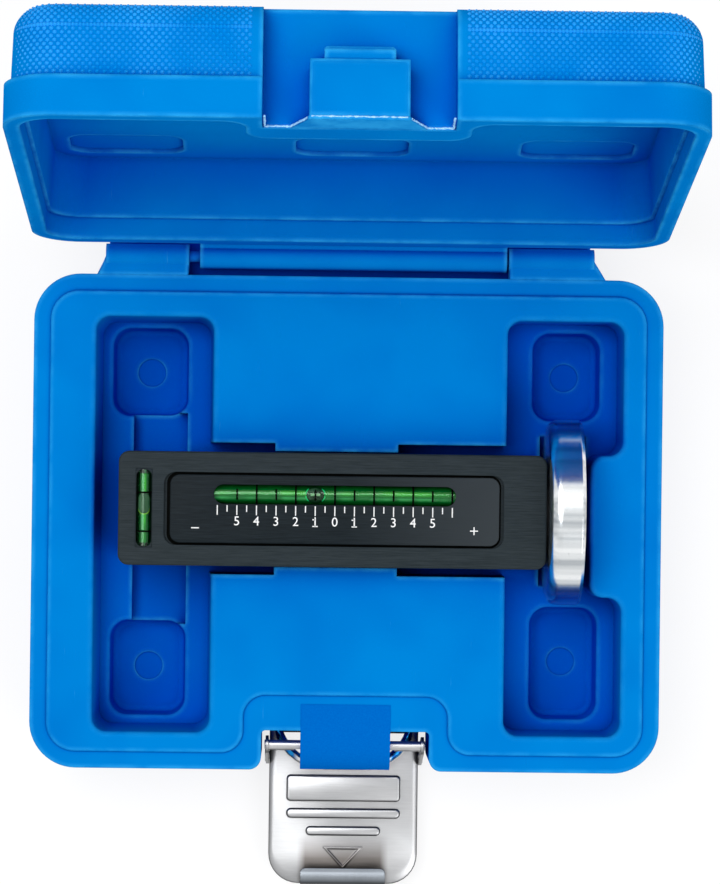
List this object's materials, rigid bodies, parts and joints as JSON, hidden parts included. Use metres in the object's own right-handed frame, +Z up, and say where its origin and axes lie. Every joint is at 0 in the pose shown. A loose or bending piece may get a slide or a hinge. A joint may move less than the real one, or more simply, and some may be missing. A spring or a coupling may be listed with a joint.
{
  "type": "camber caster gauge in carry case",
  "caption": "Magnetic camber and caster gauge with bubble levels, lying in a moulded carry case with a hinged lid and a steel draw latch.",
  "frame": {"origin": "centre of the case's flat underside", "axes": "+X along the gauge towards its magnet, +Y towards the case's hinge, +Z up"},
  "size_m": [0.176, 0.2339, 0.1731],
  "materials": {
    "case_blue": "moulded satin",
    "latch_steel": "bright stamped",
    "pin_steel": "drawn",
    "black_anodised": "anodised",
    "scale_black": "satin",
    "vial_clear": "clear",
    "liquid_green": "clear",
    "bubble_air": "clear",
    "carrier_plastic": "moulded",
    "spacer_black": "matte",
    "magnet_chrome": "polished",
    "ferrite": "pressed",
    "screw_steel": "turned"
  },
  "bodies": {
    "case": {"base_shell": "case_blue", "hinge_pin": "case_blue"},
    "lid": {"lid_shell": "case_blue"},
    "latch_link": {"latch_links": "latch_steel", "latch_link_rod": "pin_steel", "latch_rivets": "pin_steel"},
    "latch_lever": {"latch_lever": "latch_steel"},
    "gauge": {"gauge_body": "black_anodised", "camber_plate": "scale_black", "caster_plate": "scale_black", "camber_vial": "vial_clear", "camber_liquid": "liquid_green", "cross_vial": "vial_clear", "cross_liquid": "liquid_green", "caster_pivot": "pin_steel", "caster_cushion": "spacer_black", "magnet_spacer": "spacer_black", "magnet_cup": "magnet_chrome", "magnet_ring": "ferrite", "magnet_pole": "magnet_chrome", "magnet_screw": "screw_steel"},
    "camber_bubble": {"camber_bubble": "bubble_air"},
    "cross_bubble": {"cross_bubble": "bubble_air"},
    "caster_carrier": {"caster_carrier": "carrier_plastic", "caster_vial": "vial_clear", "caster_liquid": "liquid_green"},
    "caster_bubble": {"caster_bubble": "bubble_air"},
    "caster_screw": {"caster_screw": "screw_steel"}
  },
  "joints": [
    {"name": "lid_hinge", "type": "hinge", "parent": "case", "child": "lid", "pos_m": [0, 0.0742, 0.0325], "axis": [-1, 0, 0], "range_deg": [-100, 0]},
    {"name": "latch_link_swing", "type": "hinge", "parent": "case", "child": "latch_link", "pos_m": [0.0003, -0.0625, 0.0265], "axis": [1, 0, 0], "range_deg": [-150.5, 0]},
    {"name": "latch_lever_swing", "type": "hinge", "parent": "latch_link", "child": "latch_lever", "pos_m": [0.0003, -0.0671, 0.00519], "axis": [1, 0, 0], "range_deg": [0, 240.5]},
    {"name": "gauge_lift", "type": "slide", "parent": "case", "child": "gauge", "axis": [0, 0, 1], "range_m": [0, 0.06]},
    {"name": "camber_bubble_slide", "type": "slide", "parent": "gauge", "child": "camber_bubble", "axis": [1, 0, 0], "range_m": [-0.026, 0.036], "deforming": ["camber_liquid"]},
    {"name": "cross_bubble_slide", "type": "slide", "parent": "gauge", "child": "cross_bubble", "axis": [0, 1, 0], "range_m": [-0.0077, 0.0051], "deforming": ["cross_liquid"]},
    {"name": "caster_screw_turn", "type": "hinge", "parent": "gauge", "child": "caster_screw", "pos_m": [0.0349, -0.0119, 0.031], "axis": [0, -1, 0], "range_deg": [-360, 360]},
    {"name": "caster_carrier_tilt", "type": "hinge", "parent": "gauge", "child": "caster_carrier", "pos_m": [-0.0425, -0.0047, 0.031], "axis": [0, 0, 1], "range_deg": [-0.4, 0.4]},
    {"name": "caster_bubble_slide", "type": "slide", "parent": "caster_carrier", "child": "caster_bubble", "axis": [1, 0, 0], "range_m": [-0.03, 0.03], "deforming": ["caster_liquid"]}
  ],
  "couplings": [
    {"joint": "latch_lever_swing", "follows": "latch_link_swing", "ratio": -1.598}
  ]
}
